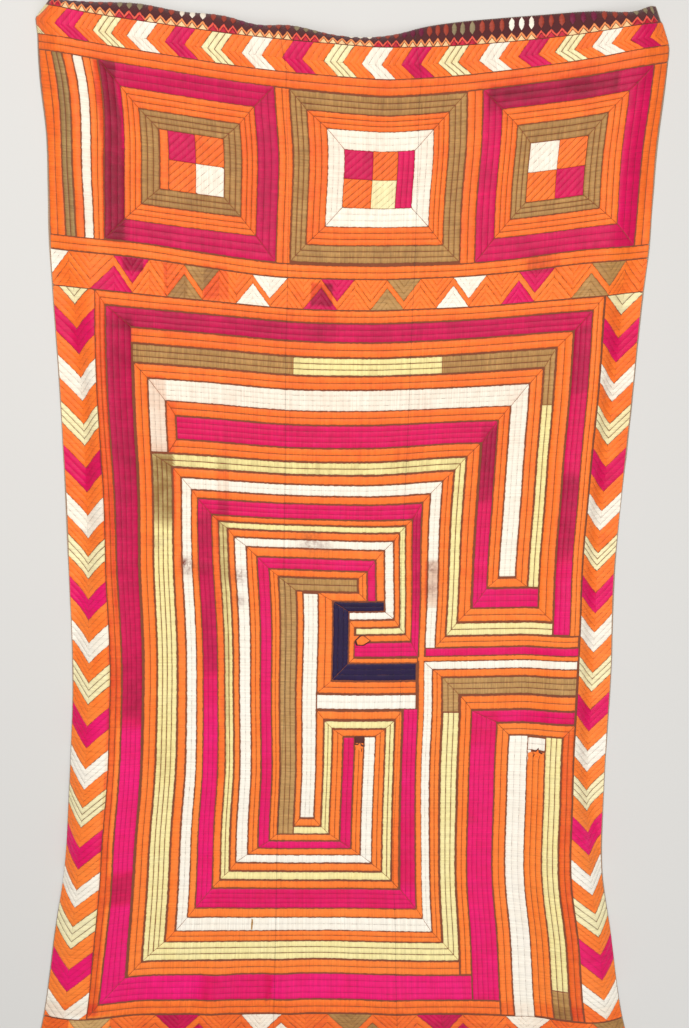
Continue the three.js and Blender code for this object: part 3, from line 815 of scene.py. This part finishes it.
@functools.cache
def silk_material(name):
    """Floss in strands: its tone follows the patches of painted sheen and shade and of dye and wear, and the
    lines between rows are darker, as painted shade at the rows' edges.
    """
    edge_shade_depth, plain, deep, bright = COLOURS[name]
    streaks = STREAKS.get(name, OTHER_STREAKS)
    n = Nodes("silk_" + name)
    where = n.add("ShaderNodeTexCoord").outputs["Object"]
    uv = n.add("ShaderNodeUVMap", _uv_map="thread").outputs[0]
    across = n.add("ShaderNodeSeparateXYZ", Vector=uv).outputs[0]
    line = n.math("DIVIDE", n.math("ADD", across, n.swing(n.noise(where, 900.0, 1.0), 0.0004)), THREAD_PITCH)
    strand = n.add("ShaderNodeTexWhiteNoise", _noise_dimensions="1D", W=n.math("FLOOR", line)).outputs[0]
    # tone: the patches of painted sheen and shade and of dye, with random dye swings
    tone = n.math("ADD", n.attribute("tone"), n.swing(n.noise(where, 17.0, 3.0, 0.6), 0.9))
    tone = n.math("ADD", tone, n.swing(n.noise(where, 70.0, 2.0, 0.6), 0.5))
    # the tone mixes towards the deep or the bright colour: partly painted sheen and shade, partly dye
    colour = n.mix(n.times(tone, -1.0, True), linear(plain), linear(deep))
    colour = n.mix(n.times(tone, 1.0, True), colour, linear(bright))
    shade = n.math("ADD", n.times(strand, 0.16), n.times(n.streaky(uv, 260.0, 22.0, 2.0, 0.7), streaks))
    shade = n.math("ADD", shade, 0.9 - streaks / 2)
    # painted shade at the edges of each row, where the floss dips into the cloth
    shade = n.times(shade, n.math("SUBTRACT", 1.0, n.times(n.attribute("edge"), edge_shade_depth)))
    for seam in SEAMS:
        off = n.math("ABSOLUTE", n.math("SUBTRACT", n.attribute("across"), seam * 0.001))
        shade = n.times(shade, n.spread(off, SEAM_SHADE, 1.0, SEAM_NEAR, SEAM_FAR))
    colour = n.shaded(colour, shade)
    mottle = n.spread(n.noise(where, 140.0, 3.0), 0.15, 1.0, 0.3, 0.65)
    colour = n.mix(n.times(n.attribute("stain"), mottle, True), colour, linear((120, 52, 34)))
    ridge = n.math("ABSOLUTE", n.math("SINE", n.times(line, math.pi)))
    height = n.math("ADD", ridge, n.times(strand, 0.5))
    height = n.math("ADD", height, n.times(n.noise(where, 1500.0, 2.0), 0.4))
    n.shader.inputs["Specular IOR Level"].default_value = 0.28
    n.shader.inputs["Sheen Weight"].default_value = 0.04
    n.shader.inputs["Sheen Roughness"].default_value = 0.35
    return n.finish(colour, n.spread(n.noise(where, 220.0, 2.0), 0.38, 0.58), height, 0.55, 0.00022)


COTTON_PITCH = 0.00095   # from one thread of the cotton to the next but one


def cotton_material():
    """Hand-loomed cotton with slubs both ways, maroon at the far end and pale at its selvedges."""
    n = Nodes("khaddar")
    where = n.add("ShaderNodeTexCoord").outputs["Object"]
    uv = n.add("ShaderNodeUVMap", _uv_map="cloth").outputs[0]
    parts = n.add("ShaderNodeSeparateXYZ", Vector=uv).outputs
    sway = n.swing(n.noise(where, 300.0, 2.0), 0.0006)
    warp, weft = (n.math("SINE", n.times(n.math("ADD", parts[k], sway), 2 * math.pi / COTTON_PITCH))
                  for k in (0, 1))
    slub_warp, slub_weft = n.streaky(uv, 1600, 60), n.streaky(uv, 60, 1600)
    colour = n.mix(n.spread(slub_warp, 0.0, 1.0), linear((124, 60, 34)), linear((166, 92, 54)))
    colour = n.mix(n.spread(slub_weft, 0.0, 0.5), colour, linear((98, 46, 28)))
    colour = n.mix(n.attribute("maroon"), colour, linear((86, 30, 32)))
    colour = n.mix(n.attribute("selvedge"), colour, linear((206, 180, 152)))
    colour = n.shaded(colour, n.spread(n.noise(where, 9.0, 4.0, 0.6), 0.72, 1.2))
    height = n.math("ADD", n.times(warp, weft), n.math("ADD", slub_warp, slub_weft))
    n.shader.inputs["Sheen Weight"].default_value = 0.12
    n.shader.inputs["Sheen Roughness"].default_value = 0.5
    return n.finish(colour, n.spread(n.noise(where, 400.0, 2.0), 0.82, 0.96), height, 0.6, 0.00025)


def thread_material(name, light, dark):
    n = Nodes(name)
    where = n.add("ShaderNodeTexCoord").outputs["Object"]
    colour = n.mix(n.noise(where, 260.0, 2.0), linear(dark), linear(light))
    roughness = n.spread(n.noise(where, 700.0, 2.0), 0.6, 0.85)
    return n.finish(colour, roughness, n.noise(where, 2600.0, 2.0), 0.4, 0.0002)


COLOURS = {  # depth of the painted shade at the edges of rows, then the plain colour, and the deep and bright ones that dye changes and the painted sheen and shade mix towards
    "orange": (0.5, (255, 121, 40), (220, 66, 26), (255, 144, 60)),
    "magenta": (0.34, (220, 0, 86), (138, 0, 44), (244, 6, 122)),
    "crimson": (0.4, (196, 16, 50), (150, 8, 34), (220, 30, 70)),
    "white": (0.2, (250, 240, 222), (234, 200, 174), (253, 248, 238)),
    "cream": (0.5, (248, 235, 182), (226, 196, 128), (252, 242, 202)),
    "yellow": (0.5, (247, 229, 156), (156, 122, 66), (252, 240, 182)),
    "brown": (0.45, (180, 134, 76), (138, 92, 48), (204, 162, 104)),
    "tan": (0.5, (168, 134, 82), (132, 94, 54), (188, 158, 106)),
    "navy": (0.3, (28, 8, 54), (20, 6, 34), (38, 14, 70)),
    "rose": (0.3, (240, 92, 74), (210, 54, 50), (250, 120, 98)),
    "peach": (0.3, (246, 152, 90), (228, 112, 60), (250, 180, 122)),
    "blush": (0.3, (248, 206, 150), (236, 160, 100), (252, 224, 178)),
    "rust": (0.4, (164, 62, 42), (120, 38, 32), (188, 84, 56)),
    "maroon": (0.4, (116, 24, 58), (80, 16, 40), (138, 40, 72)),
    "greygreen": (0.4, (150, 132, 98), (110, 92, 66), (176, 160, 124)),
    "deepbrown": (0.4, (84, 34, 30), (58, 22, 22), (104, 50, 42)),
}


# Meshes
def make_mesh(name, points, faces, maps=None, values=None, material=None):
    mesh = bpy.data.meshes.new(name)
    points, faces = np.asarray(points, np.float32), np.asarray(faces, np.int32)
    sides = faces.shape[1]
    mesh.vertices.add(len(points))
    mesh.vertices.foreach_set("co", points.ravel())
    mesh.loops.add(faces.size)
    mesh.loops.foreach_set("vertex_index", faces.ravel())
    mesh.polygons.add(len(faces))
    mesh.polygons.foreach_set("loop_start", np.arange(0, faces.size, sides, dtype=np.int32))
    mesh.update(calc_edges=True)
    for key, data in (maps or {}).items():
        layer = mesh.uv_layers.new(name=key)
        layer.data.foreach_set("uv", np.asarray(data, np.float32)[faces.ravel()].ravel())
    for key, data in (values or {}).items():
        layer = mesh.attributes.new(key, "FLOAT", "POINT")
        layer.data.foreach_set("value", np.asarray(data, np.float32))
    mesh.polygons.foreach_set("use_smooth", np.ones(len(faces), bool))
    mesh.validate()
    if material:
        mesh.materials.append(material)
    obj = bpy.data.objects.new(name, mesh)
    bpy.context.scene.collection.objects.link(obj)
    return obj


def cotton_sheet(name, first, last):
    """One width of cotton: a closed sheet, finely divided, close together where it curls."""
    count = int(math.ceil((last - first) / COTTON_ACROSS))
    start = first + (SEAM_GAP / 2 if first > 0 else 0)
    end = last - (SEAM_GAP / 2 if last < WIDTH else 0)
    u = np.linspace(start, end, count)
    below = CURLED + COTTON_DOWN
    v = np.concatenate([np.linspace(0, CURLED, CURLED_ROWS),
                        np.linspace(below, LENGTH, int((LENGTH - below) / COTTON_DOWN))])
    uu, vv = np.meshgrid(u, v)
    rows, columns = uu.shape
    points = np.concatenate([on_cloth(uu, vv, uu * 0 + lift).reshape(-1, 3) for lift in (0, COTTON)])
    at = np.arange(rows * columns).reshape(rows, columns)
    top = rows * columns
    quads = grid_faces(rows, columns)
    faces = [quads, quads[:, ::-1] + top]
    rim = np.concatenate([at[0], at[1:, -1], at[-1, -2::-1], at[-2:0:-1, 0]])
    following = np.roll(rim, -1)
    faces.append(np.stack([following, rim, rim + top, following + top], 1))
    flat = np.stack([uu, vv], -1).reshape(-1, 2) * 0.001
    maroon = ease((MAROON_END - vv) / 4).ravel()
    selvedge = np.maximum(ease((SELVEDGE - uu) / 3), ease((uu - WIDTH + SELVEDGE) / 3)).ravel()
    maps = {"cloth": np.tile(flat, (2, 1))}
    values = {"maroon": np.tile(maroon, 2), "selvedge": np.tile(selvedge, 2)}
    return make_mesh(name, points, np.concatenate(faces), maps, values, COTTON_LOOK)


COTTON_LOOK = cotton_material()
for side, (first, last) in WIDTHS.items():
    sheet = cotton_sheet("cotton_" + side, first, last)
    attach(sheet, "root")
    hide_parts("panel_" + side)

for (part, colour), silk in SILK.items():
    points = {name: np.concatenate(values) for name, values in silk.points.items()}
    low, high = points["flat"].min(0), points["flat"].max(0)
    maps = {"OFBake": (points["flat"] - low) / (high - low), "thread": points["thread"]}
    values = {name: points[name] for name in ("tone", "stain", "edge", "across")}
    obj = make_mesh("_".join(("silk", part, colour)), points["place"], np.concatenate(silk.faces)[:, ::-1],
                    maps, values, silk_material(colour))
    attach(obj, "root")


# Sewing along edges and seams
EDGE_STEP, HEM_STEP, SEAM_STEP = 4.6, 5.2, 4.4
EDGE_THREAD, SEAM_THREAD = 0.0004, 0.0003   # in metres
THREAD_ARCH = np.array([-0.25, 0.35, 0.5, 0.35, -0.25])


def stitches(name, ends, radius, material):
    """Many short stitches: each a small arched thread from one place on the cloth to another."""
    ends = np.array(ends, float)
    a, b = ends[:, :2], ends[:, 2:]
    f = np.linspace(0, 1, len(THREAD_ARCH))[None, :, None]
    spots = a[:, None] + (b - a)[:, None] * f
    centre = on_cloth(spots[..., 0], spots[..., 1], COTTON + np.broadcast_to(THREAD_ARCH, spots.shape[:2]))
    way = np.gradient(centre, axis=1)
    way /= np.linalg.norm(way, axis=-1, keepdims=True)
    side = np.cross(way, np.array([0, 0, 1.0]))
    side /= np.linalg.norm(side, axis=-1, keepdims=True)
    up = np.cross(side, way)
    turns = np.linspace(0, 2 * math.pi, 5, endpoint=False)
    ring = [centre + radius * (side * math.cos(turn) + up * math.sin(turn)) for turn in turns]
    points = np.stack(ring, axis=2)
    at = np.arange(points.size // 3).reshape(points.shape[:3])
    following = np.roll(at, -1, axis=2)
    quads = np.stack([at[:, :-1], at[:, 1:], following[:, 1:], following[:, :-1]], axis=-1).reshape(-1, 4)
    return make_mesh(name, points.reshape(-1, 3), quads, material=material)


def sewing():
    pale = thread_material("edge_thread", (206, 176, 150), (120, 84, 62))
    dark = thread_material("seam_thread", (120, 62, 40), (70, 32, 24))
    edge, seam = [], []
    for v in np.arange(4, LENGTH - 3, EDGE_STEP):
        slant = rng.uniform(1.2, 2.6)
        edge.append((0.4, v, 3.4 + rng.uniform(-.5, .6), v + slant))
        edge.append((WIDTH - 0.4, v, WIDTH - 3.4 - rng.uniform(-.5, .6), v + slant))
    for u in np.arange(3, WIDTH - 3, HEM_STEP):
        edge.append((u, LENGTH - 0.5, u + 2, LENGTH - 3.6 - rng.uniform(-.4, .5)))
        edge.append((u, 0.5, u + 1.6, 2.8 + rng.uniform(-.3, .4)))
    for at in SEAMS:
        for v in np.arange(3, LENGTH - 3, SEAM_STEP):
            seam.append((at - 1.1, v, at + 1.1, v + rng.uniform(.6, 1.4)))
    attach(stitches("edge_sewing", edge, EDGE_THREAD, pale), "root")
    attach(stitches("seam_sewing", seam, SEAM_THREAD, dark), "root")


sewing()

# Stage, light and camera
FLOOR_REACH, FLOOR_TOP = 6, -0.0004
corners = [(x * FLOOR_REACH, y * FLOOR_REACH, FLOOR_TOP) for x, y in ((-1, -1), (1, -1), (1, 1), (-1, 1))]
ground = Nodes("floor_paint")
ground.put(ground.shader.inputs["Base Color"], (0.66, 0.65, 0.63, 1))
ground.put(ground.shader.inputs["Roughness"], 0.9)
floor = make_mesh("floor", corners, [(0, 1, 2, 3)], material=ground.material)

LENS_SPAN, LENS = 36.0, 53.36
AIM = Vector((0.0185, 0.091, 0.0))
EYE = AIM + Vector((0.0, 0.477, 3.164))
camera_data = bpy.data.cameras.new("camera")
camera_data.sensor_width, camera_data.lens = LENS_SPAN, LENS
camera = bpy.data.objects.new("camera", camera_data)
bpy.context.scene.collection.objects.link(camera)
back = (EYE - AIM).normalized()
right = Vector((1, 0, 0))
up = back.cross(right).normalized()
camera.matrix_world = Matrix.Translation(EYE) @ Matrix((right, up, back)).transposed().to_4x4()
bpy.context.scene.camera = camera


def lamp(name, place, aim, size, power, tint=(1, 1, 1)):
    data = bpy.data.lights.new(name, "AREA")
    data.shape, data.size, data.size_y, data.energy, data.color = "RECTANGLE", size[0], size[1], power, tint
    obj = bpy.data.objects.new(name, data)
    obj.location = place
    obj.rotation_euler = (Vector(aim) - Vector(place)).to_track_quat("-Z", "Y").to_euler()
    bpy.context.scene.collection.objects.link(obj)


lamp("key", (-0.7, 1.9, 4.2), (0, 0, 0), (2.0, 1.6), 160, (1, 0.985, 0.96))
lamp("fill", (1.8, -2.2, 3.4), (0, -0.2, 0), (2.4, 2.4), 52, (0.97, 0.985, 1))
world = bpy.data.worlds.new("studio")
world.use_nodes = True
world.node_tree.nodes["Background"].inputs[0].default_value = (1, 1, 1, 1)
world.node_tree.nodes["Background"].inputs[1].default_value = 0.35
bpy.context.scene.world = world
bpy.context.scene.view_settings.view_transform = "Standard"
